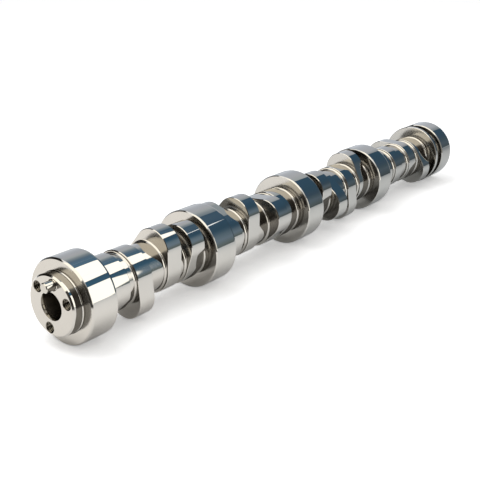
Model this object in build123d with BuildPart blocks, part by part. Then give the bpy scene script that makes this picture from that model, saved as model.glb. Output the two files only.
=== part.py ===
"""Camshaft of a V8 engine: one steel bar, turned and ground, with a pressed-in timing dowel.

Frame: the origin is the centre of the front journal's thrust face, +Y runs along the axis to
the rear end and +Z is up. Angles are seen from the front end, from +X towards +Z. Millimetres
and degrees.
"""

import os
from math import acos, cos, degrees, radians, sin, tan

from build123d import *

# Journals: five ground bearing lands of one diameter
journal_diameter = 55.0
journal_pitch = 111.76
front_journal_length = 20.04
journal_length = 21.0
front_journal_chamfer = 1.0
journal_front_chamfer = 0.8
journal_rear_chamfer = 0.5
pitched_journals = 3

# Nose: the pilot that the timing gear sits on
nose_length = 7.15
nose_diameter = 39.2
nose_chamfer = 1.0
relief_width = 1.2
relief_depth = 0.5
relief_chamfer = 0.2
relief_face_depth = 0.2
relief_face_reach = 0.3

# Centre bore, drilled from end to end, with a lathe centre's cone in each mouth
bore_diameter = 16.0
centre_cone_depth = 1.9
centre_cone_half_angle = 30.0

# Tapped holes for the gear's three bolts
tap_drill_diameter = 6.8
tap_depth = 22.0
tap_mouth_chamfer = 0.3
tap_edge_distance = 4.9
tap_angles = (19.0, 139.0, 259.0)
drill_point_angle = 118.0

# Timing dowel: a stepped pin, its thicker seat pressed into a blind hole flush with the face
dowel_diameter = 6.35
dowel_seat_step = 0.4
dowel_seat_chamfer = 0.35
dowel_stand_out = 6.5
dowel_seat_length = 14.0
dowel_end_chamfer = 0.5
dowel_hole_run_out = 1.0
dowel_mouth_chamfer = 0.25
dowel_edge_distance = 5.3
dowel_angle = 79.0

# Rear end: a thin disc, a deep groove and the last journal land
rear_bay_extra = 0.92
rear_disc_thickness = 3.7
rear_disc_chamfer = 0.5
rear_groove_width = 9.7
rear_groove_depth = 9.0
rear_groove_fillet = 1.0
rear_land_length = 19.6
rear_land_chamfer = 1.0

# Lobes: straight flanks between a base circle and a nose arc, under the journals' diameter
lobe_width = 12.8
lobe_lift = 8.55
lobe_nose_radius = 14.5
lobe_tip_clearance = 0.3
lobe_edge_chamfer = 0.4
middle_lobe_gap = 14.16

# Each bay between two journals serves two cylinders, with an intake and an exhaust lobe each
cylinders_per_bay = 2
lobes_per_bay = 4

# Timing of the lobes
firing_order = (1, 8, 7, 2, 6, 5, 4, 3)
first_intake_angle = 186.6
lobe_separation = 117.0
bank_angle = 90.0

# Bar between the lobes
core_depth_below_base = 2.15
root_fillet = 1.5
fillet_gap_share = 0.45

# Two radii closer than this are one radius
radius_match = 0.001

# Worked out from the sizes above
journal_radius = journal_diameter / 2
nose_radius = nose_diameter / 2
bore_radius = bore_diameter / 2
dowel_radius = dowel_diameter / 2
dowel_seat_radius = dowel_radius + dowel_seat_step
tap_drill_radius = tap_drill_diameter / 2
tip_radius = journal_radius - lobe_tip_clearance
base_radius = tip_radius - lobe_lift
core_radius = base_radius - core_depth_below_base
bay_length = journal_pitch - journal_length
lobe_gap = (bay_length - lobes_per_bay * lobe_width - middle_lobe_gap) / lobes_per_bay
inner_lobe_offset = (middle_lobe_gap + lobe_width) / 2
outer_lobe_offset = inner_lobe_offset + lobe_width + lobe_gap
groove_floor_radius = journal_radius - rear_groove_depth
last_bay_front = front_journal_length + pitched_journals * journal_pitch
rear_disc_front = last_bay_front + bay_length + rear_bay_extra
rear_groove_front = rear_disc_front + rear_disc_thickness
rear_land_front = rear_groove_front + rear_groove_width
rear_face = rear_land_front + rear_land_length
firing_step = 360 / len(firing_order)


def journal_rear(place):
    """Station of the rear face of a journal, counted from the front one as 0."""
    return front_journal_length + place * journal_pitch


def land(front, rear, radius, front_chamfer, rear_chamfer):
    """Adds a turned land to the half-section: radius along x, station along y."""
    Polygon(
        (0, front),
        (radius - front_chamfer, front),
        (radius, front + front_chamfer),
        (radius, rear - rear_chamfer),
        (radius - rear_chamfer, rear),
        (0, rear),
        align=None,
    )


def plain_land(front, rear, radius):
    """Adds a land with no chamfers to the half-section."""
    Polygon((0, front), (radius, front), (radius, rear), (0, rear), align=None)


def relief_cut():
    """Cuts the thrust face back at the nose's foot, so that nose and face can both be ground."""
    Polygon(
        (0, 0),
        (nose_radius + relief_face_reach, 0),
        (nose_radius, relief_face_depth),
        (0, relief_face_depth),
        align=None,
        mode=Mode.SUBTRACT,
    )


def blind_hole_section(radius, depth, mouth_chamfer):
    """Adds the half-section of a drilled hole with its mouth at y = 0 and its point at +Y."""
    point_depth = radius / tan(radians(drill_point_angle / 2))
    Polygon(
        (0, 0),
        (radius + mouth_chamfer, 0),
        (radius, mouth_chamfer),
        (radius, depth),
        (0, depth + point_depth),
        align=None,
    )


def centre_cone_section(face, inward):
    """Adds the half-section of a centre cone that opens on the end face at this station."""
    inner = face + inward * centre_cone_depth
    mouth_radius = bore_radius + centre_cone_depth * tan(radians(centre_cone_half_angle))
    Polygon((0, face), (mouth_radius, face), (bore_radius, inner), (0, inner), align=None)


def on_nose_face(edge_distance, angle):
    """Centre of a hole in the nose's face, by its distance in from the nose's outer surface."""
    radius = nose_radius - edge_distance
    return (radius * cos(radians(angle)), -nose_length, radius * sin(radians(angle)))


def lobe_angle(cylinder, exhaust):
    """Direction that a lobe's nose points in, from the cylinder's place in the firing order."""
    angle = first_intake_angle + firing_step * firing_order.index(cylinder)
    if cylinder % 2 == 0:
        angle += bank_angle
    if exhaust:
        angle -= lobe_separation
    return angle


def lobe_places():
    """Places of the sixteen lobes: four to a bay, intake lobes outside and exhaust inside."""
    places = []
    for bay in range(len(firing_order) // cylinders_per_bay):
        centre = journal_rear(bay) + bay_length / 2
        odd = cylinders_per_bay * bay + 1
        even = odd + 1
        row = (
            (-outer_lobe_offset, odd, False),
            (-inner_lobe_offset, even, True),
            (inner_lobe_offset, odd, True),
            (outer_lobe_offset, even, False),
        )
        for offset, cylinder, exhaust in row:
            turn = lobe_angle(cylinder, exhaust)
            places.append(Location((0, centre + offset, 0), (0, -turn, 0)))
    return places


def circles_of(radius, part):
    """The circular edges of one radius on a part."""
    circles = part.edges().filter_by(GeomType.CIRCLE)
    return circles.filter_by(lambda edge: abs(edge.radius - radius) < radius_match)


# One lobe, centred on its own width, with its nose towards +X
nose_centre = tip_radius - lobe_nose_radius
flank_angle = degrees(acos((base_radius - lobe_nose_radius) / nose_centre))
with BuildPart() as lobe:
    with BuildSketch(Plane.XZ):
        with BuildLine():
            nose_arc = CenterArc((nose_centre, 0), lobe_nose_radius, -flank_angle, 2 * flank_angle)
            base_arc = CenterArc((0, 0), base_radius, flank_angle, 360 - 2 * flank_angle)
            Line(nose_arc @ 1, base_arc @ 0)
            Line(base_arc @ 1, nose_arc @ 0)
        make_face()
    extrude(amount=lobe_width / 2, both=True)
    chamfer(lobe.faces().filter_by(Axis.Y).edges(), lobe_edge_chamfer)

# Cutter for one tapped hole, at its tap drill's diameter
with BuildPart() as tapped_hole:
    with BuildSketch(Plane.XY):
        blind_hole_section(tap_drill_radius, tap_depth, tap_mouth_chamfer)
    revolve(axis=Axis.Y)

# Cutter for the dowel's hole, a little deeper than the dowel is pressed in
with BuildPart() as dowel_hole:
    with BuildSketch(Plane.XY):
        hole_depth = dowel_seat_length + dowel_hole_run_out
        blind_hole_section(dowel_seat_radius, hole_depth, dowel_mouth_chamfer)
    revolve(axis=Axis.Y)

with BuildPart() as camshaft:
    # Lands and bar
    with BuildSketch(Plane.XY):
        land(0, front_journal_length, journal_radius, front_journal_chamfer, journal_rear_chamfer)
        relief_cut()
        plain_land(-relief_width, relief_face_depth, nose_radius - relief_depth)
        land(-nose_length, -relief_width, nose_radius, nose_chamfer, relief_chamfer)
        plain_land(front_journal_length, rear_land_front, core_radius)
        for place in range(1, pitched_journals + 1):
            rear = journal_rear(place)
            front = rear - journal_length
            land(front, rear, journal_radius, journal_front_chamfer, journal_rear_chamfer)
        land(rear_disc_front, rear_groove_front, journal_radius, rear_disc_chamfer, rear_disc_chamfer)
        plain_land(rear_groove_front, rear_land_front, groove_floor_radius)
        land(rear_land_front, rear_face, journal_radius, journal_front_chamfer, rear_land_chamfer)
    revolve(axis=Axis.Y)

    # Lobes
    with Locations(*lobe_places()):
        add(lobe.part)

    # Root fillets: they stay inside the lobes' base circle and leave flat bar in each gap
    root_limit = min(core_depth_below_base - lobe_edge_chamfer, lobe_gap * fillet_gap_share)
    fillet(circles_of(core_radius, camshaft), min(root_fillet, root_limit))
    fillet(circles_of(groove_floor_radius, camshaft), rear_groove_fillet)

    # Bore with its centre cones
    with BuildSketch(Plane.XY):
        plain_land(-nose_length, rear_face, bore_radius)
        centre_cone_section(-nose_length, 1)
        centre_cone_section(rear_face, -1)
    revolve(axis=Axis.Y, mode=Mode.SUBTRACT)

    # Holes in the nose's face
    with Locations(*[on_nose_face(tap_edge_distance, angle) for angle in tap_angles]):
        add(tapped_hole.part, mode=Mode.SUBTRACT)
    with Locations(on_nose_face(dowel_edge_distance, dowel_angle)):
        add(dowel_hole.part, mode=Mode.SUBTRACT)

# Dowel: its seat ends above the hole's drill point
with BuildPart() as dowel_pin:
    dowel_x, face_y, dowel_z = on_nose_face(dowel_edge_distance, dowel_angle)
    with BuildSketch(Plane.XZ.offset(-face_y - dowel_seat_length)):
        with Locations((dowel_x, dowel_z)):
            Circle(dowel_seat_radius)
    extrude(amount=dowel_seat_length)
    chamfer(dowel_pin.faces().filter_by(Axis.Y).edges(), dowel_seat_chamfer)
    with BuildSketch(Plane.XZ.offset(-face_y)):
        with Locations((dowel_x, dowel_z)):
            Circle(dowel_radius)
    extrude(amount=dowel_stand_out)
    chamfer(dowel_pin.faces().sort_by(Axis.Y)[0].edges(), dowel_end_chamfer)

os.makedirs("parts", exist_ok=True)
camshaft.part.label = "camshaft"
export_step(camshaft.part, "parts/camshaft.step")
dowel_pin.part.label = "dowel_pin"
export_step(dowel_pin.part, "parts/dowel_pin.step")
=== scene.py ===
"""Looks of a V8 engine's camshaft: a mirror-ground steel bar with cut threads, and its dowel pin.

Frame: the origin is the centre of the front journal's thrust face, +Y runs along the axis to
the rear end and +Z is up. Sizes are in millimetres, angles in degrees seen from the front end,
from +X towards +Z, and meshes are written in metres.
"""

import logging
from dataclasses import dataclass, field
from enum import Enum
from math import acos, atan2, cos, pi, radians, sin, tan

import bmesh
import bpy
import numpy as np
from bpy.types import Material, Mesh, Node, NodeSocket, NodeTree, Object, World
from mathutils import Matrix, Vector
from mathutils.geometry import delaunay_2d_cdt


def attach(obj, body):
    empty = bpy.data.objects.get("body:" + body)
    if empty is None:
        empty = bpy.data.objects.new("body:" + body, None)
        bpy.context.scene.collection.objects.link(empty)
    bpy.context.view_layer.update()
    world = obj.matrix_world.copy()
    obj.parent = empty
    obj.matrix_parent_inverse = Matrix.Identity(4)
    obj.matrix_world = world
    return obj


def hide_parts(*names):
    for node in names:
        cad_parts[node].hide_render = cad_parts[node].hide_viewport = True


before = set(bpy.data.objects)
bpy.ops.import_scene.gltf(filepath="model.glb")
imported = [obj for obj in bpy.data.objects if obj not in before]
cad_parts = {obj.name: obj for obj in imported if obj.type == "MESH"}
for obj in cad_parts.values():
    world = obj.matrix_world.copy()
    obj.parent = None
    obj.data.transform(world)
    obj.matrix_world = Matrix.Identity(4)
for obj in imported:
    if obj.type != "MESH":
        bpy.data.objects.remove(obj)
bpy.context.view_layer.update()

METRES_PER_MM = 0.001
FULL_TURN = 2 * pi

# What the triangulation gives back: the faces inside its outlines
INSIDE_OUTLINES = 1

# Places of a Mix node's numbers and colours, whose sockets share their names
NUMBER_A = 2
NUMBER_B = 3
COLOUR_A = 6
COLOUR_B = 7
MIXED_COLOUR = 2

log = logging.getLogger("camshaft")


def linear(code: str) -> tuple[float, float, float, float]:
    """Turns an sRGB hex colour into linear light, by the sRGB standard's curve.

    Args:
        code: The colour as "#RRGGBB".

    Returns:
        Red, green and blue in linear light, and an alpha of 1.
    """
    parts = [int(code[place : place + 2], 16) / 255 for place in (1, 3, 5)]
    low = [part / 12.92 for part in parts]
    high = [((part + 0.055) / 1.055) ** 2.4 for part in parts]
    red, green, blue = (a if part <= 0.04045 else b for part, a, b in zip(parts, low, high))
    return red, green, blue, 1.0


def add_node(
    tree: NodeTree,
    kind: str,
    inputs: dict[str | int, object] | None = None,
    **settings: object,
) -> Node:
    """Adds one node with its settings, its constants and its links.

    Args:
        tree: The node tree it goes into.
        kind: Blender's name for the node's type.
        inputs: For each input, by name or place, a constant, an output socket to link, or a
            node to link by its first output.
        settings: Values of the node's own properties, by name.

    Returns:
        The new node.
    """
    node = tree.nodes.new(kind)
    for name, value in settings.items():
        setattr(node, name, value)
    for name, value in (inputs or {}).items():
        if isinstance(value, Node):
            value = value.outputs[0]
        if isinstance(value, NodeSocket):
            tree.links.new(value, node.inputs[name])
        else:
            node.inputs[name].default_value = value
    return node


@dataclass(frozen=True)
class Tone:
    """A colour at a place on a scale, such as an elevation, and its strength."""

    place: float
    colour: str
    strength: float = 1.0


def run_through(
    tree: NodeTree,
    value: NodeSocket,
    tones: tuple[Tone, ...],
    low: float,
    high: float,
    unit: float = 1.0,
) -> NodeSocket:
    """Adds a colour that runs from tone to tone as a value rises.

    Args:
        tree: The node tree it goes into.
        value: The value.
        tones: The tones, from the lowest place.
        low: Place at the lower end of the scale.
        high: Place at its upper end.
        unit: What a place of 1 is in the value's own unit.

    Returns:
        The colour's socket.
    """
    share = add_node(
        tree,
        "ShaderNodeMapRange",
        {"Value": value, "From Min": low * unit, "From Max": high * unit},
    )
    ramp = add_node(tree, "ShaderNodeValToRGB", {"Fac": share})
    stops = ramp.color_ramp.elements
    stops.remove(stops[-1])
    for count, tone in enumerate(tones):
        position = (tone.place - low) / (high - low)
        stop = stops.new(position) if count else stops[0]
        stop.position = position
        stop.color = (*[part * tone.strength for part in linear(tone.colour)[:3]], 1)
    return ramp.outputs["Color"]


class Way(Enum):
    """Which way a face looks along the shaft."""

    FRONT = -1
    REAR = 1


class Skin(Enum):
    """Which finish a patch of the shaft takes, as its material's place."""

    LAPPED = 0
    TURNED = 1
    DRILLED = 2
    TAPPED = 3


@dataclass(frozen=True)
class GroundSteel:
    """Finish of hardened alloy steel, ground and then lapped to a mirror.

    A lapped steel reflects like a warm grey mirror: lights stay sharp, and only faint lines
    that run round the axis, left by the wheel, soften them across the shaft. The end faces
    are not lapped, so their lights are blurred.
    """

    name: str = "lapped_steel"
    colour: str = "#C9C6C0"
    shade: str = "#C3C0BA"
    roughness: float = 0.02
    roughness_spread: float = 0.02

    # Flat end faces: their roughness, and how far a normal lies along the axis as it sets in
    face_roughness: float = 0.15
    face_from: float = 0.8

    # The wheel's lines are closer on real steel, and are this far apart so that they show
    line_spacing: float = 0.45
    line_height: float = 0.00002
    line_strength: float = 0.35
    line_detail: float = 2.0
    line_break: float = 0.6

    # Faint clouds of tone and gloss, as wide as a lapping pad's uneven patches
    cloud_size: float = 14.0
    cloud_detail: float = 3.0

    def material(self) -> Material:
        """Builds the material: lines follow the station on walls and the radius on end faces.

        Returns:
            The new material.
        """
        made = bpy.data.materials.new(self.name)
        made.use_nodes = True
        tree = made.node_tree
        tree.nodes.clear()
        place = add_node(tree, "ShaderNodeTexCoord")
        split = add_node(tree, "ShaderNodeSeparateXYZ", {0: place.outputs["Object"]})
        facing = add_node(tree, "ShaderNodeSeparateXYZ", {0: place.outputs["Normal"]})
        flat = add_node(tree, "ShaderNodeMath", {0: facing.outputs["Y"]}, operation="ABSOLUTE")
        across = add_node(
            tree, "ShaderNodeCombineXYZ", {"X": split.outputs["X"], "Y": split.outputs["Z"]}
        )
        radius = add_node(tree, "ShaderNodeVectorMath", {0: across}, operation="LENGTH")
        along = add_node(
            tree,
            "ShaderNodeMix",
            {0: flat, NUMBER_A: split.outputs["Y"], NUMBER_B: radius.outputs["Value"]},
            data_type="FLOAT",
        )
        lines = add_node(
            tree,
            "ShaderNodeTexNoise",
            {
                "W": along,
                "Scale": 1 / (self.line_spacing * METRES_PER_MM),
                "Detail": self.line_detail,
                "Roughness": self.line_break,
            },
            noise_dimensions="1D",
        )
        clouds = add_node(
            tree,
            "ShaderNodeTexNoise",
            {
                "Vector": place.outputs["Object"],
                "Scale": 1 / (self.cloud_size * METRES_PER_MM),
                "Detail": self.cloud_detail,
            },
        )
        tone = add_node(
            tree,
            "ShaderNodeMix",
            {0: clouds, COLOUR_A: linear(self.colour), COLOUR_B: linear(self.shade)},
            data_type="RGBA",
        ).outputs[MIXED_COLOUR]
        base = add_node(
            tree,
            "ShaderNodeMapRange",
            {
                "Value": flat,
                "From Min": self.face_from,
                "To Min": self.roughness,
                "To Max": self.face_roughness,
            },
            interpolation_type="SMOOTHSTEP",
        )
        gloss = add_node(
            tree,
            "ShaderNodeMath",
            {0: clouds, 1: self.roughness_spread, 2: base},
            operation="MULTIPLY_ADD",
        )
        bump = add_node(
            tree,
            "ShaderNodeBump",
            {
                "Strength": self.line_strength,
                "Distance": self.line_height * METRES_PER_MM,
                "Height": lines,
            },
        )
        shader = add_node(
            tree,
            "ShaderNodeBsdfPrincipled",
            {"Base Color": tone, "Metallic": 1.0, "Roughness": gloss, "Normal": bump},
        )
        add_node(tree, "ShaderNodeOutputMaterial", {"Surface": shader})
        return made


LAPPED = GroundSteel()

# Turned steel between the ground lands: as pale, with wider lines that blur the lights a little
TURNED = GroundSteel(
    name="turned_steel", colour="#CBC7C0", shade="#C2BEB7", roughness=0.06, line_spacing=0.6
)

# Drilled steel inside the bore: dull, with no clear lights, and dark in colour as painted shade
# down the deep bore
DRILLED = GroundSteel(
    name="drilled_steel_painted_shade", colour="#7E7970", shade="#66615A", roughness=0.28, line_spacing=0.8
)

# Tapped steel in the threads and centre cones, with small lights on its crests: its colour is
# darkened as painted shade down the holes
TAPPED = GroundSteel(
    name="tapped_steel_painted_shade", colour="#878176", shade="#68635A", roughness=0.1, line_spacing=0.8
)

# Centreless-ground pin steel: bright, but not lapped, so its lights have soft edges
PIN = GroundSteel(
    name="ground_pin_steel", colour="#CBC7BF", shade="#BFBBB3", roughness=0.1, line_spacing=0.5
)


@dataclass
class Turning:
    """Rings round the shaft's axis, in order, which one skin joins into a turned surface.

    A guard ring lies a little way past a round or a taper, and keeps the wall beside it
    shaded flat.
    """

    columns: int = 168
    guard: float = 0.05
    fillet_steps: int = 5
    stations: list[float] = field(default_factory=list)
    radii: list[np.ndarray] = field(default_factory=list)
    skins: list[Skin] = field(default_factory=list)

    def ring(self, station: float, radius: float | np.ndarray, skin: Skin = Skin.TURNED) -> None:
        """Adds a ring.

        Args:
            station: Its station along the axis.
            radius: Its radius, or one radius for each column.
            skin: The finish of the strip after it.
        """
        self.stations.append(station)
        self.radii.append(np.broadcast_to(radius, (self.columns,)))
        self.skins.append(skin)

    def land(
        self,
        front: float,
        rear: float,
        outline: "Round | Lobe",
        chamfers: tuple[float, float],
        taper: tuple[float, float] = (0.0, 0.0),
        softened: float = 0.0,
    ) -> None:
        """Adds a land with a chamfer at each end.

        A softened front corner is cut back by that much along the chamfer and along the wall,
        so that its normals turn from one to the other.

        Args:
            front: Station of its front face.
            rear: Station of its rear face.
            outline: What gives the outline's radius at an inset.
            chamfers: Size of the front and of the rear chamfer.
            taper: Length and drop of a slight taper before the rear chamfer.
            softened: How far the front chamfer's outer corner is cut back.
        """
        front_chamfer, rear_chamfer = chamfers
        length, drop = taper
        corner = front + front_chamfer
        end = rear - rear_chamfer + drop
        steps = [(front, front_chamfer)]
        if softened:
            back = softened * sin(pi / 4)
            steps += [(corner - back, back), (corner + softened, 0.0)]
            steps += [(corner + softened + self.guard, 0.0)]
        else:
            steps += [(corner, 0.0)]
        if length:
            steps += [(end - length - self.guard, 0.0), (end - length, 0.0), (end, drop)]
        else:
            steps += [(end, 0.0)]
        for station, inset in steps:
            self.ring(station, outline.outline(self.turns(), inset), Skin.LAPPED)
        self.ring(rear, outline.outline(self.turns(), rear_chamfer))

    def root(self, station: float, floor_radius: float, size: float, way: Way) -> None:
        """Adds the quarter round at a face's foot, with a guard ring on the face and the bar.

        A point on it at angle t has the station face + size (1 - cos t), on the bar's side,
        and the radius floor + size (1 - sin t).

        Args:
            station: Station of the face.
            floor_radius: Radius of the bar at the foot.
            size: Radius of the quarter round.
            way: Which way the face looks, which is the side that the bar is on.
        """
        angles = np.linspace(0, pi / 2, self.fillet_steps + 1)
        reach = np.concatenate(([0], size * (1 - np.cos(angles)), [size + self.guard]))
        rise = np.concatenate(([size + self.guard], size * (1 - np.sin(angles)), [0]))
        order = slice(None) if way is Way.REAR else slice(None, None, -1)
        for step, lift in zip(reach[order], rise[order]):
            self.ring(station + way.value * step, floor_radius + lift)

    def turns(self) -> np.ndarray:
        """Angles of the columns, from +X towards +Z, in radians."""
        return np.arange(self.columns) * (FULL_TURN / self.columns)

    def points(self) -> np.ndarray:
        """Points of the rings: x and z are the radius times the turn's cosine and sine.

        Returns:
            An array of rings by columns by x, y and z.
        """
        radii = np.stack(self.radii)
        stations = np.broadcast_to(np.array(self.stations)[:, None], radii.shape)
        return np.stack([radii * np.cos(self.turns()), stations, radii * np.sin(self.turns())], -1)


@dataclass(frozen=True)
class Round:
    """A circular outline."""

    radius: float

    def outline(self, turns: np.ndarray, inset: float) -> np.ndarray:
        """Radius at each turn: the circle's own, less the inset."""
        return np.full(turns.shape, self.radius - inset)


@dataclass(frozen=True)
class Lobe:
    """One cam lobe: a base circle, a nose arc and the two straight flanks that touch both."""

    front: float
    angle: float
    width: float = 12.8
    tip_radius: float = 27.2
    lift: float = 8.55
    nose_radius: float = 14.5
    edge_chamfer: float = 0.4

    def outline(self, turns: np.ndarray, inset: float) -> np.ndarray:
        """Radius of the lobe at each turn, moved inwards by the inset.

        On the base circle it is the base radius. On a flank it is the base radius over the
        cosine of the turn from the flank's normal. On the nose, with its centre c out, it is
        c cos a + sqrt(n^2 - c^2 sin^2 a) for a nose radius of n.

        Args:
            turns: Angles from +X towards +Z, in radians.
            inset: How far the outline lies inside the lobe's own.

        Returns:
            The radius at each turn.
        """
        base = self.tip_radius - self.lift - inset
        nose = self.nose_radius - inset
        centre = self.tip_radius - self.nose_radius
        flank = acos((base - nose) / centre)
        touch = atan2(nose * sin(flank), centre + nose * cos(flank))
        away = np.abs((turns - radians(self.angle) + pi) % FULL_TURN - pi)
        inside = np.maximum(nose**2 - (centre * np.sin(away)) ** 2, 0)
        on_nose = centre * np.cos(away) + np.sqrt(inside)
        on_flank = base / np.cos(np.clip(flank - away, 0, flank))
        return np.where(away < touch, on_nose, np.where(away < flank, on_flank, base))

    def turn_onto(self, turning: Turning, bar: "Bar") -> None:
        """Adds the lobe, with the bar's root fillets at both its feet.

        Args:
            turning: The rings so far.
            bar: The bar that it stands on.
        """
        rear = self.front + self.width
        turning.root(self.front, bar.radius, bar.root_fillet, Way.FRONT)
        turning.land(self.front, rear, self, (self.edge_chamfer, self.edge_chamfer))
        turning.root(rear, bar.radius, bar.root_fillet, Way.REAR)


@dataclass(frozen=True)
class Bar:
    """The bar between the lobes and journals."""

    radius: float = 16.5
    root_fillet: float = 1.5


@dataclass(frozen=True)
class Valvetrain:
    """Order and timing of the lobes: four to a bay, intake outside and exhaust inside."""

    firing_order: tuple[int, ...] = (1, 8, 7, 2, 6, 5, 4, 3)
    first_intake_angle: float = 186.6
    lobe_separation: float = 117.0
    bank_angle: float = 90.0
    middle_gap: float = 14.16
    lobe_gap: float = 6.35

    def angle(self, cylinder: int, exhaust: bool) -> float:
        """Direction of a lobe's nose.

        Each step of the firing order adds its share of a turn, the even bank adds the bank
        angle, and an exhaust lobe lies the lobe separation before its intake lobe.

        Args:
            cylinder: The cylinder's number, which is even on the even bank.
            exhaust: Whether the lobe opens the exhaust valve.

        Returns:
            The angle from +X towards +Z.
        """
        turn = self.first_intake_angle
        turn += 360 / len(self.firing_order) * self.firing_order.index(cylinder)
        turn += self.bank_angle if cylinder % 2 == 0 else 0
        return turn - self.lobe_separation if exhaust else turn

    def bay(self, place: int, centre: float) -> list[Lobe]:
        """The four lobes of a bay, from front to rear.

        Args:
            place: The bay's place, counted from the front as 0.
            centre: Station of its middle.

        Returns:
            Its lobes.
        """
        odd = 2 * place + 1
        inner = self.middle_gap / 2
        outer = inner + Lobe.width + self.lobe_gap
        row = (
            (-outer - Lobe.width, odd, False),
            (-inner - Lobe.width, odd + 1, True),
            (inner, odd, True),
            (outer, odd + 1, False),
        )
        return [Lobe(centre + start, self.angle(who, exhaust)) for start, who, exhaust in row]


@dataclass(frozen=True)
class Hole:
    """A drilled hole in the nose's face, with a chamfered mouth and a 118 degree point."""

    radius: float
    depth: float
    mouth_chamfer: float
    circle_radius: float
    angle: float
    columns: int = 40
    point_angle: float = 118.0

    def centre(self) -> tuple[float, float]:
        """Its axis on the face, as x and z."""
        turn = radians(self.angle)
        return self.circle_radius * cos(turn), self.circle_radius * sin(turn)

    def depths(self) -> np.ndarray:
        """Depths of the wall's rings below the mouth."""
        return np.array([self.mouth_chamfer, self.depth])

    def wall(self, depths: np.ndarray, turns: np.ndarray) -> np.ndarray:
        """Radius of the wall at each depth and turn: a plain cylinder."""
        return np.full((len(depths), len(turns)), self.radius)

    def points(self, face: float) -> np.ndarray:
        """Points of the hole's rings, from its mouth to its point.

        Args:
            face: Station of the face that it opens on.

        Returns:
            An array of rings by columns by x, y and z.
        """
        turns = np.arange(self.columns) * (FULL_TURN / self.columns)
        point_depth = self.depth + self.radius / tan(radians(self.point_angle / 2))
        depths = self.depths()
        mouth = np.full((1, self.columns), self.radius + self.mouth_chamfer)
        radii = np.concatenate((mouth, self.wall(depths, turns), np.zeros((1, self.columns))))
        stations = face + np.concatenate(([0], depths, [point_depth]))
        x, z = self.centre()
        deep = np.broadcast_to(stations[:, None], radii.shape)
        return np.stack([x + radii * np.cos(turns), deep, z + radii * np.sin(turns)], -1)


@dataclass(frozen=True)
class TappedHole(Hole):
    """A tapped hole: a right-hand metric coarse thread of 60 degrees, cut into its wall."""

    pitch: float = 1.25
    thread_depth: float = 0.55
    crest_share: float = 0.28
    untapped_end: float = 4.0
    flank_angle: float = 30.0
    rings_a_pitch: int = 8
    fade_turns: float = 0.6

    def depths(self) -> np.ndarray:
        """Depths of the wall's rings: close together down the thread, then the plain end.

        Returns:
            The depths below the nose's face.
        """
        bottom = self.depth - self.untapped_end
        rings = int((bottom - self.mouth_chamfer) / self.pitch * self.rings_a_pitch)
        return np.append(np.linspace(self.mouth_chamfer, bottom, rings), self.depth)

    def wall(self, depths: np.ndarray, turns: np.ndarray) -> np.ndarray:
        """Radius of the threaded wall.

        The groove's phase is the depth over the pitch plus the turn over a full turn. Its
        depth falls from full at its middle to nothing over a flank of 30 degrees, and it
        fades in at the mouth and out at the end.

        Args:
            depths: Depths of the rings.
            turns: Angles of the columns.

        Returns:
            The radius at each depth and turn.
        """
        phase = depths[:, None] / self.pitch + turns[None, :] / FULL_TURN
        off_middle = np.abs(phase % 1 - 0.5)
        flank = self.thread_depth * tan(radians(self.flank_angle)) / self.pitch
        half_width = (1 - self.crest_share) / 2
        groove = np.clip((half_width - off_middle) / flank, 0, 1)
        fade = self.fade_turns * self.pitch
        end = self.depth - self.untapped_end
        cut_in = np.clip((depths - self.mouth_chamfer) / fade, 0, 1)
        run_out = np.clip((end - depths) / fade, 0, 1)
        return self.radius + self.thread_depth * groove * (cut_in * run_out)[:, None]


@dataclass(frozen=True)
class Bore:
    """The bore from end to end, with a lathe centre's cone in each mouth."""

    radius: float = 8.0
    cone_depth: float = 1.9
    cone_half_angle: float = 30.0

    def mouth_radius(self) -> float:
        """Radius of a cone's mouth: the bore's plus the cone's run out."""
        return self.radius + self.cone_depth * tan(radians(self.cone_half_angle))

    def turn_onto(self, turning: Turning, rear: float, front: float) -> None:
        """Adds the rear cone, the bore and the front cone.

        Args:
            turning: The rings so far, up to the rear face.
            rear: Station of the rear face.
            front: Station of the front face.
        """
        turning.ring(rear, self.mouth_radius(), Skin.TAPPED)
        turning.ring(rear - self.cone_depth, self.radius, Skin.DRILLED)
        turning.ring(front + self.cone_depth, self.radius, Skin.TAPPED)
        turning.ring(front, self.mouth_radius())


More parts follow.
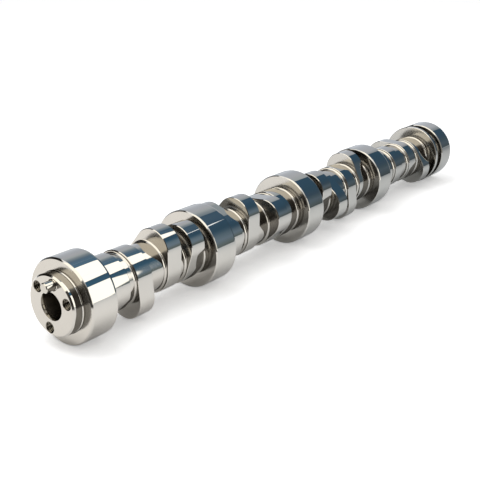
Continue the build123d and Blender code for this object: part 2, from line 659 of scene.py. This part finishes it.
@dataclass(frozen=True)
class Nose:
    """The pilot that the timing gear sits on, with the relief at its foot."""

    length: float = 7.15
    radius: float = 19.6
    chamfer: float = 1.0
    relief_width: float = 1.2
    relief_depth: float = 0.5
    relief_chamfer: float = 0.2
    relief_steps: int = 8
    relief_face_depth: float = 0.2
    relief_face_reach: float = 0.3
    tap_radius: float = 3.4
    tap_depth: float = 22.0
    tap_chamfer: float = 0.3
    tap_circle: float = 14.7
    tap_angles: tuple[float, ...] = (19.0, 139.0, 259.0)
    dowel_radius: float = 3.575
    dowel_depth: float = 15.0
    dowel_chamfer: float = 0.25
    dowel_circle: float = 14.3
    dowel_angle: float = 79.0

    def face(self) -> float:
        """Station of the nose's face."""
        return -self.length

    def turn_onto(self, turning: Turning) -> None:
        """Adds the nose's land and the round-bottomed relief in its foot and the thrust face.

        The relief's radius is the nose's less its depth times the sine of the way across it.

        Args:
            turning: The rings, of which these are the first.
        """
        chamfers = (self.chamfer, self.relief_chamfer)
        turning.land(self.face(), -self.relief_width, Round(self.radius), chamfers)
        along = np.linspace(0, 1, self.relief_steps + 1)
        for share in along[1:]:
            station = -self.relief_width + share * (self.relief_width + self.relief_face_depth)
            turning.ring(station, self.radius - self.relief_depth * sin(pi * share), Skin.LAPPED)
        turning.ring(0, self.radius + self.relief_face_reach)

    def holes(self) -> list[Hole]:
        """The holes in the nose's face.

        Returns:
            The three tapped holes and the dowel's hole.
        """
        taps = [
            TappedHole(self.tap_radius, self.tap_depth, self.tap_chamfer, self.tap_circle, angle)
            for angle in self.tap_angles
        ]
        dowel = Hole(
            self.dowel_radius,
            self.dowel_depth,
            self.dowel_chamfer,
            self.dowel_circle,
            self.dowel_angle,
        )
        return [*taps, dowel]


@dataclass(frozen=True)
class Journals:
    """The bearing lands: the front one and three more at one pitch."""

    radius: float = 27.5
    pitch: float = 111.76
    front_length: float = 20.04
    length: float = 21.0
    thrust_chamfer: float = 1.0
    front_chamfer: float = 0.8
    rear_chamfer: float = 0.5
    rear_taper: tuple[float, float] = (1.05, 0.15)
    softened_edge: float = 0.15
    pitched: int = 3

    def rear(self, place: int) -> float:
        """Station of a journal's rear face, counted from the front one as 0."""
        return self.front_length + place * self.pitch


@dataclass(frozen=True)
class RearEnd:
    """The thin disc, the deep groove and the last journal land."""

    extra_bay: float = 0.92
    disc_thickness: float = 3.7
    disc_chamfer: float = 0.5
    groove_width: float = 9.7
    groove_depth: float = 9.0
    groove_fillet: float = 1.0
    land_length: float = 19.6
    land_chamfer: float = 1.0

    def turn_onto(self, turning: Turning, bay_end: float, journals: Journals) -> float:
        """Adds the disc, the groove and the last land.

        Args:
            turning: The rings so far.
            bay_end: Where the last bay would end at the common journal pitch.
            journals: The journals, for their radius and chamfer.

        Returns:
            Station of the rear face.
        """
        disc = bay_end + self.extra_bay
        groove = disc + self.disc_thickness
        land = groove + self.groove_width
        rear = land + self.land_length
        outline = Round(journals.radius)
        floor = journals.radius - self.groove_depth
        turning.root(disc, Bar.radius, Bar.root_fillet, Way.FRONT)
        turning.land(disc, groove, outline, (self.disc_chamfer, self.disc_chamfer))
        turning.root(groove, floor, self.groove_fillet, Way.REAR)
        turning.root(land, floor, self.groove_fillet, Way.FRONT)
        turning.land(land, rear, outline, (journals.front_chamfer, self.land_chamfer))
        return rear


@dataclass
class Camshaft:
    """The one-piece shaft: its turned outside, its bore and the holes in its nose."""

    node: str = "camshaft"
    body: str = "root"
    slot: str = "polished_steel"
    bar: Bar = field(default_factory=Bar)
    bore: Bore = field(default_factory=Bore)
    nose: Nose = field(default_factory=Nose)
    journals: Journals = field(default_factory=Journals)
    valvetrain: Valvetrain = field(default_factory=Valvetrain)
    rear_end: RearEnd = field(default_factory=RearEnd)
    sharp_angle: float = 30.0
    weld: float = 0.001
    corner_match: float = 1e-6
    patches: list[tuple[np.ndarray, np.ndarray, np.ndarray]] = field(default_factory=list)

    def outside(self) -> Turning:
        """Turns the whole outline, from the nose's face round to the bore's front mouth.

        Returns:
            The rings, of which the last four are the bore's.
        """
        turning = Turning()
        bay = self.journals.pitch - self.journals.length
        journal = Round(self.journals.radius)
        self.nose.turn_onto(turning)
        front = 0.0
        chamfer = self.journals.thrust_chamfer
        for place in range(self.journals.pitched + 1):
            rear = self.journals.rear(place)
            if place:
                front = rear - self.journals.length
                chamfer = self.journals.front_chamfer
                turning.root(front, self.bar.radius, self.bar.root_fillet, Way.FRONT)
            chamfers = (chamfer, self.journals.rear_chamfer)
            taper = self.journals.rear_taper
            turning.land(front, rear, journal, chamfers, taper, self.journals.softened_edge)
            turning.root(rear, self.bar.radius, self.bar.root_fillet, Way.REAR)
            for lobe in self.valvetrain.bay(place, rear + bay / 2):
                lobe.turn_onto(turning, self.bar)
        end = self.rear_end.turn_onto(turning, rear + bay, self.journals)
        self.bore.turn_onto(turning, end, self.nose.face())
        return turning

    def skin(self, points: np.ndarray, skins: list[Skin], inwards: bool = False) -> None:
        """Adds a patch: rings of points joined by quads, closed all the way round.

        Args:
            points: An array of rings by columns by x, y and z.
            skins: The finish of each strip between two rings.
            inwards: Whether its faces look towards its own axis while its rings run rearwards.
        """
        rings, columns = points.shape[:2]
        index = np.arange(rings * columns).reshape(rings, columns)
        beside = np.roll(index, -1, axis=1)
        corners = [index[:-1], index[1:], beside[1:], beside[:-1]]
        quads = np.stack(corners[::-1] if inwards else corners, -1).reshape(-1, 4)
        finishes = np.repeat([skin.value for skin in skins[: rings - 1]], columns)
        self.patches.append((points.reshape(-1, 3), quads, finishes))

    def nose_face(self, loops: list[np.ndarray], holes: list[Hole]) -> None:
        """Fills the nose's flat face between its rim, the bore's mouth and the holes' mouths.

        Args:
            loops: The rings of points that bound the face.
            holes: The holes, whose mouths stay open.
        """
        starts = np.cumsum([0] + [len(loop) for loop in loops])
        flat = np.concatenate(loops)[:, [0, 2]]
        edges = np.concatenate(
            [
                np.stack([np.arange(len(loop)), np.roll(np.arange(len(loop)), -1)], -1) + start
                for loop, start in zip(loops, starts)
            ]
        )
        corners = [Vector(point) for point in flat.tolist()]
        made = delaunay_2d_cdt(corners, edges.tolist(), [], INSIDE_OUTLINES, self.corner_match)
        points = np.array([point[:] for point in made[0]])
        faces = np.array(made[2])
        middles = points[faces].mean(axis=1)
        keep = np.hypot(*middles.T) > self.bore.mouth_radius() * cos(pi / Turning.columns)
        for hole in holes:
            reach = np.hypot(*(middles - hole.centre()).T)
            keep &= reach > (hole.radius + hole.mouth_chamfer) * cos(pi / hole.columns)
        face = np.full(len(points), self.nose.face())
        placed = np.stack([points[:, 0], face, points[:, 1]], -1)
        self.patches.append((placed, faces[keep], np.full(keep.sum(), Skin.TURNED.value)))

    def mesh(self) -> Mesh:
        """Joins the patches into one welded mesh, with its hard edges marked.

        Returns:
            The new mesh.
        """
        made = bpy.data.meshes.new(self.node)
        points, faces, skins = [], [], []
        count = 0
        for spots, corners, finishes in self.patches:
            points.append(spots * METRES_PER_MM)
            faces.extend((corners + count).tolist())
            skins.append(finishes.astype(np.int32))
            count += len(spots)
        made.from_pydata(np.concatenate(points), [], faces)
        made.polygons.foreach_set("material_index", np.concatenate(skins))
        made.polygons.foreach_set("use_smooth", np.ones(len(faces), dtype=bool))
        shape = bmesh.new()
        shape.from_mesh(made)
        bmesh.ops.remove_doubles(shape, verts=shape.verts, dist=self.weld * METRES_PER_MM)
        shape.to_mesh(made)
        shape.free()
        made.set_sharp_from_angle(angle=radians(self.sharp_angle))
        return made

    def build(self) -> Object:
        """Builds the shaft and puts it in its CAD node's place.

        Returns:
            The new object.
        """
        turning = self.outside()
        rings = turning.points()
        self.skin(rings, turning.skins)
        holes = self.nose.holes()
        mouths = [hole.points(self.nose.face()) for hole in holes]
        for mouth in mouths:
            self.skin(mouth, [Skin.TAPPED] * len(mouth), inwards=True)
        self.nose_face([rings[0], rings[-1], *[mouth[0] for mouth in mouths]], holes)
        made = bpy.data.objects.new(self.node + "_ground", self.mesh())
        bpy.context.scene.collection.objects.link(made)
        for finish in (LAPPED, TURNED, DRILLED, TAPPED):
            made.data.materials.append(finish.material())
        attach(made, self.body)
        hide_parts(self.node)
        return made


@dataclass
class DowelPin:
    """The timing dowel, which keeps its CAD solid's shape."""

    node: str = "dowel_pin"

    def dress(self) -> Object:
        """Gives the dowel its finish.

        Returns:
            The CAD node's object.
        """
        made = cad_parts[self.node]
        made.data.materials.clear()
        made.data.materials.append(PIN.material())
        return made


@dataclass(frozen=True)
class Paper:
    """The floor: matt white paper that the camera sees white, with the shaft's shadow kept.

    The steel sees painted light and shade on it: a little brighter than white near the front,
    as its lamp is close, and greyer towards the rear and past its dark edge, as the studio's
    light falls off there.
    """

    level: float = -27.5
    left: float = -3000.0
    right: float = 425.0
    front: float = -3000.0
    rear: float = 3000.0
    colour: str = "#FFFFFF"

    # Glow that the camera alone sees, which whitens the paper round the shadow
    camera_lift: float = 0.33

    # Painted light and shade that the steel alone sees: tones at stations from the front to the
    # rear
    nearest: float = -100.0
    farthest: float = 900.0
    tones: tuple[Tone, ...] = (
        Tone(-100.0, "#FFFDFA", 1.2),
        Tone(50.0, "#FFFEFD", 1.2),
        Tone(320.0, "#F2F6F9"),
        Tone(900.0, "#B8BEC4"),
    )

    # Painted shade past its dark edge, which the steel alone sees: the way the edge lies from the
    # origin, where it starts and ends, and its depth
    painted_shade_way: tuple[float, float, float] = (0.615, -0.788, 0.0)
    painted_shade_edge: tuple[float, float] = (110.0, 190.0)
    painted_shade_depth: float = 0.93

    # Painted shade: how much darker the steel sees it in a reflection of a reflection, which
    # darkens the gaps between the shaft's faces
    painted_shade_in_second_reflection: float = 0.6

    # Painted light that the steel alone sees: a glow, which falls over this distance from right
    # under the shaft
    glow: float = 0.03
    painted_light_beneath: float = 0.06
    beneath: tuple[float, float] = (8.0, 28.0)

    def lay(self) -> Object:
        """Lays the floor: a plain rectangle that the shaft rests on.

        Returns:
            The floor.
        """
        corners = np.array(
            [
                (self.left, self.front, self.level),
                (self.right, self.front, self.level),
                (self.right, self.rear, self.level),
                (self.left, self.rear, self.level),
            ]
        )
        mesh = bpy.data.meshes.new("floor")
        mesh.from_pydata(corners * METRES_PER_MM, [], [(0, 1, 2, 3)])
        made = bpy.data.objects.new("floor", mesh)
        bpy.context.scene.collection.objects.link(made)
        mesh.materials.append(self.material())
        return made

    def material(self) -> Material:
        """Builds the paper's material.

        Returns:
            The new material.
        """
        made = bpy.data.materials.new("white_paper")
        made.use_nodes = True
        tree = made.node_tree
        tree.nodes.clear()
        path = add_node(tree, "ShaderNodeLightPath")
        in_steel = path.outputs["Is Glossy Ray"]
        place = add_node(tree, "ShaderNodeTexCoord").outputs["Object"]
        split = add_node(tree, "ShaderNodeSeparateXYZ", {0: place})
        aside = add_node(tree, "ShaderNodeMath", {0: split.outputs["X"]}, operation="ABSOLUTE")
        across = add_node(
            tree, "ShaderNodeVectorMath", {0: place, 1: self.painted_shade_way}, operation="DOT_PRODUCT"
        )
        reflected = run_through(
            tree, split.outputs["Y"], self.tones, self.nearest, self.farthest, METRES_PER_MM
        )
        paper = add_node(
            tree,
            "ShaderNodeMix",
            {0: in_steel, COLOUR_A: linear(self.colour), COLOUR_B: reflected},
            data_type="RGBA",
        ).outputs[MIXED_COLOUR]
        steps = (
            (across.outputs["Value"], METRES_PER_MM, self.painted_shade_edge, (0.0, self.painted_shade_depth)),
            (aside, METRES_PER_MM, self.beneath, (self.painted_light_beneath, self.glow)),
            (path.outputs["Glossy Depth"], 1.0, (1.0, 2.0), (0.0, self.painted_shade_in_second_reflection)),
        )
        past_edge, glow, second = (
            add_node(
                tree,
                "ShaderNodeMapRange",
                {
                    "Value": value,
                    "From Min": start * unit,
                    "From Max": end * unit,
                    "To Min": before,
                    "To Max": after,
                },
                interpolation_type="SMOOTHSTEP",
            )
            for value, unit, (start, end), (before, after) in steps
        )
        # Painted shade that the steel alone sees: past the dark edge and in a reflection of a
        # reflection
        depth = add_node(tree, "ShaderNodeMath", {0: past_edge, 1: second}, operation="MAXIMUM")
        dark = add_node(tree, "ShaderNodeMath", {0: depth, 1: in_steel}, operation="MULTIPLY")
        shown = add_node(
            tree,
            "ShaderNodeMix",
            {0: dark, COLOUR_A: paper, COLOUR_B: linear("#000000")},
            data_type="RGBA",
        ).outputs[MIXED_COLOUR]
        # Painted light that the steel alone sees, on top of the camera's white glow
        lit = add_node(tree, "ShaderNodeMath", {0: in_steel, 1: glow}, operation="MULTIPLY")
        strength = add_node(
            tree,
            "ShaderNodeMath",
            {0: path.outputs["Is Camera Ray"], 1: self.camera_lift, 2: lit},
            operation="MULTIPLY_ADD",
        )
        matt = add_node(tree, "ShaderNodeBsdfDiffuse", {"Color": shown})
        light = add_node(tree, "ShaderNodeEmission", {"Color": shown, "Strength": strength})
        both = add_node(tree, "ShaderNodeAddShader", {0: matt, 1: light})
        add_node(tree, "ShaderNodeOutputMaterial", {"Surface": both})
        return made


@dataclass(frozen=True)
class Card:
    """A patch of the surroundings: a range of directions and its tones by elevation.

    Azimuth is from +Y towards +X, or from -Y towards -X for a card in front of the shaft, and
    elevation is up from the horizon. A side's lean moves it towards greater azimuth for each
    degree of elevation, and the bottom's lean raises it for each degree of azimuth. Each edge
    is a smooth step over a soft width.
    """

    left: float
    right: float
    bottom: float
    top: float
    tones: tuple[Tone, ...]
    left_lean: float = 0.0
    right_lean: float = 0.0
    bottom_lean: float = 0.0
    soft: float = 0.6
    left_soft: float = 0.6
    in_front: bool = False

    def cover(self, tree: NodeTree, azimuth: NodeSocket, elevation: NodeSocket) -> Node:
        """Adds how far the card covers a direction: the product of its four edges' steps.

        Args:
            tree: The world's node tree.
            azimuth: The direction's azimuth, from the card's own side.
            elevation: The direction's elevation.

        Returns:
            The node that gives it, from 0 to 1.
        """
        edges = (
            (self.left, self.left_lean, azimuth, elevation, self.left_soft),
            (self.right, self.right_lean, azimuth, elevation, -self.soft),
            (self.bottom, self.bottom_lean, elevation, azimuth, self.soft),
            (self.top, 0.0, elevation, azimuth, -self.soft),
        )
        cover: Node | float = 1.0
        for place, lean, value, other, width in edges:
            upright = add_node(
                tree, "ShaderNodeMath", {0: other, 1: -lean, 2: value}, operation="MULTIPLY_ADD"
            )
            step = add_node(
                tree,
                "ShaderNodeMapRange",
                {"Value": upright, "From Min": place - width / 2, "From Max": place + width / 2},
                interpolation_type="SMOOTHSTEP",
            )
            cover = add_node(tree, "ShaderNodeMath", {0: cover, 1: step}, operation="MULTIPLY")
        return cover


@dataclass(frozen=True)
class Surroundings:
    """The studio round the shaft: a white backdrop, and cards that only the steel sees."""

    # Elevations straight down and straight up
    lowest: float = -90.0
    highest: float = 90.0

    # The room that the steel sees between the cards, and the dome that matt surfaces see
    room: tuple[Tone, ...] = (
        Tone(-20, "#2C2A27"),
        Tone(20, "#3C3A37"),
        Tone(33, "#555450"),
        Tone(43, "#A8A8A5"),
        Tone(52, "#FFFFFF", 1.2),
        Tone(90, "#FFFFFF"),
    )
    dome: tuple[Tone, ...] = (Tone(0, "#808080"), Tone(30, "#D0D0D0"), Tone(60, "#FFFFFF", 1.35))
    dome_level: float = 0.7

    # Level of the reflections, which falls with each further one to its share at the last
    level: float = 1.2
    last_share: float = 0.05
    last_depth: float = 4.0

    cards: tuple[Card, ...] = (
        # Pale wall behind the shaft, from the left to the dark screen
        Card(
            left=-80,
            right=28,
            bottom=-30,
            top=95,
            tones=(
                Tone(0, "#D2D8E2"),
                Tone(10, "#C2C8D1"),
                Tone(20, "#BAC0CA"),
                Tone(30, "#BCC0C8"),
                Tone(35, "#B4BCC2"),
                Tone(40, "#8E9BA5"),
                Tone(45, "#637B91"),
                Tone(52, "#5C82A0"),
                Tone(65, "#C8D0D8"),
            ),
            right_lean=-1.0,
            left_soft=50,
        ),
        # The wall's shaded end beside the screen
        Card(
            left=-4,
            right=28,
            bottom=-30,
            top=33,
            tones=(
                Tone(0, "#8F979D"),
                Tone(12, "#98A1A8"),
                Tone(23, "#86929B"),
                Tone(30, "#73818A"),
            ),
            right_lean=-1.0,
            soft=3,
            left_soft=18,
        ),
        # Grey wall in front on the right
        Card(
            left=-95,
            right=-56,
            bottom=-30,
            top=95,
            tones=(Tone(0, "#8C8B88"), Tone(30, "#9A9996"), Tone(50, "#FFFFFF", 1.2)),
            soft=12,
            left_soft=8,
            in_front=True,
        ),
        # Dark blue screen behind on the right
        Card(
            left=28,
            right=60,
            bottom=-30,
            top=60,
            tones=(
                Tone(0, "#4C575D"),
                Tone(10, "#546370"),
                Tone(15, "#485A66"),
                Tone(20, "#405466"),
                Tone(30, "#39556A"),
                Tone(38, "#3B5870"),
                Tone(45, "#4E687E"),
                Tone(52, "#5C7F9A"),
            ),
            left_lean=-1.0,
            left_soft=2.0,
        ),
        # The screen's paler part
        Card(
            left=38,
            right=60,
            bottom=-30,
            top=42,
            tones=(
                Tone(0, "#6A7678"),
                Tone(10, "#76899A"),
                Tone(20, "#6E8494"),
                Tone(30, "#406782"),
            ),
            left_soft=16,
        ),
        # White card high behind the shaft, whose lower edge has two slopes
        Card(-8, 27, 49.1, 95, (Tone(0, "#FFFDF6", 1.7),), bottom_lean=-0.354),
        Card(27, 44, 41.6, 95, (Tone(0, "#FFFDF6", 1.7),), bottom_lean=-0.075),
        # White card low behind on the right
        Card(51, 105, -30, 28.9, (Tone(0, "#FFFDF6", 1.7),), left_lean=-0.22),
        # Bright slit under the high card
        Card(18.5, 26, 39.1, 40.1, (Tone(0, "#F4FAFF", 1.6),), soft=0.4, left_soft=1.5),
        # Dark corner in front on the left
        Card(54, 92, -5, 50, (Tone(0, "#24221F"),), in_front=True, soft=4, left_soft=6),
        # White card in front
        Card(-12, 48, -30, 95, (Tone(0, "#FFFAEE", 2.1),), in_front=True, soft=4, left_soft=4),
        # White sheet that leans over the front
        Card(
            -75, 48, 20, 95, (Tone(0, "#FFFAEE", 1.6),), bottom_lean=-0.67, in_front=True, soft=4
        ),
    )

    def world(self) -> World:
        """Builds the world: for reflections, the room with the cards laid over it in order.

        The camera sees white, and matt surfaces see an even dome.

        Returns:
            The new world.
        """
        made = bpy.data.worlds.new("studio")
        made.use_nodes = True
        tree = made.node_tree
        tree.nodes.clear()
        path = add_node(tree, "ShaderNodeLightPath")
        way = add_node(tree, "ShaderNodeTexCoord").outputs["Generated"]
        back = add_node(tree, "ShaderNodeVectorMath", {0: way, "Scale": -1.0}, operation="SCALE")
        split, turned = (
            add_node(tree, "ShaderNodeSeparateXYZ", {0: vector}) for vector in (way, back)
        )
        turns = [
            add_node(
                tree,
                "ShaderNodeMath",
                {0: parts.outputs["X"], 1: parts.outputs["Y"]},
                operation="ARCTAN2",
            )
            for parts in (split, turned)
        ]
        rise = add_node(tree, "ShaderNodeMath", {0: split.outputs["Z"]}, operation="ARCSINE")
        behind, in_front, elevation = (
            add_node(tree, "ShaderNodeMath", {0: angle}, operation="DEGREES").outputs[0]
            for angle in (*turns, rise)
        )
        sight = run_through(tree, elevation, self.room, self.lowest, self.highest)
        for card in self.cards:
            azimuth = in_front if card.in_front else behind
            colour = run_through(tree, elevation, card.tones, self.lowest, self.highest)
            cover = card.cover(tree, azimuth, elevation)
            sight = add_node(
                tree,
                "ShaderNodeMix",
                {0: cover, COLOUR_A: sight, COLOUR_B: colour},
                data_type="RGBA",
            ).outputs[MIXED_COLOUR]
        level = add_node(
            tree,
            "ShaderNodeMapRange",
            {
                "Value": path.outputs["Glossy Depth"],
                "From Min": 1.0,
                "From Max": self.last_depth,
                "To Min": self.level,
                "To Max": self.level * self.last_share,
            },
        )
        even = run_through(tree, elevation, self.dome, self.lowest, self.highest)
        reflected, dome, backdrop = (
            add_node(tree, "ShaderNodeBackground", {"Color": colour, "Strength": strength})
            for colour, strength in (
                (sight, level),
                (even, self.dome_level),
                (linear("#FFFFFF"), 1.0),
            )
        )
        lit = add_node(
            tree, "ShaderNodeMixShader", {0: path.outputs["Is Glossy Ray"], 1: dome, 2: reflected}
        )
        seen = add_node(
            tree, "ShaderNodeMixShader", {0: path.outputs["Is Camera Ray"], 1: lit, 2: backdrop}
        )
        add_node(tree, "ShaderNodeOutputWorld", {"Surface": seen})
        bpy.context.scene.world = made
        return made


@dataclass(frozen=True)
class Softbox:
    """The large soft lamp high on the shaft's left, which casts its soft shadow.

    The steel doesn't see it, as the cards stand for it there.
    """

    side: float = 900.0
    power: float = 6.0
    place: tuple[float, float, float] = (-450.0, -50.0, 1100.0)
    aim: tuple[float, float, float] = (0.0, 240.0, -30.0)

    def hang(self) -> Object:
        """Hangs the lamp in its place.

        Returns:
            The lamp.
        """
        light = bpy.data.lights.new("overhead_softbox", "AREA")
        light.shape = "SQUARE"
        light.size = self.side * METRES_PER_MM
        light.energy = self.power
        made = bpy.data.objects.new("overhead_softbox", light)
        bpy.context.scene.collection.objects.link(made)
        made.location = Vector(self.place) * METRES_PER_MM
        towards = Vector(self.aim) - Vector(self.place)
        made.rotation_mode = "QUATERNION"
        made.rotation_quaternion = towards.to_track_quat("-Z", "Y")
        made.visible_glossy = False
        made.visible_camera = False
        return made


@dataclass(frozen=True)
class Viewpoint:
    """The camera's place, its direction and its lens, in millimetres."""

    place: tuple[float, float, float] = (348.508, -278.065, 196.969)
    forward: tuple[float, float, float] = (-0.57599821, 0.74202223, -0.34297096)
    lens: float = 60.893
    sensor: float = 36.0
    clip_start: float = 10.0

    def camera(self) -> Object:
        """Sets the scene's camera, level and with no shift or blur.

        Returns:
            The camera.
        """
        data = bpy.data.cameras.new("camera")
        data.lens = self.lens
        data.sensor_width = self.sensor
        data.clip_start = self.clip_start * METRES_PER_MM
        made = bpy.data.objects.new("camera", data)
        bpy.context.scene.collection.objects.link(made)
        made.location = Vector(self.place) * METRES_PER_MM
        made.rotation_mode = "QUATERNION"
        made.rotation_quaternion = Vector(self.forward).to_track_quat("-Z", "Y")
        bpy.context.scene.camera = made
        return made


def main() -> None:
    """Builds the studio, the shaft and the dowel, and reports each."""
    logging.basicConfig(level=logging.INFO, format="%(name)s: %(message)s")
    bpy.context.scene.view_settings.view_transform = "Standard"
    for made in (Viewpoint().camera(), Paper().lay(), Surroundings().world(), Softbox().hang()):
        log.info("in place: %s", made.name)
    for piece in (Camshaft().build(), DowelPin().dress()):
        log.info("%s: %d faces", piece.name, len(piece.data.polygons))


if __name__ == "__main__":
    main()
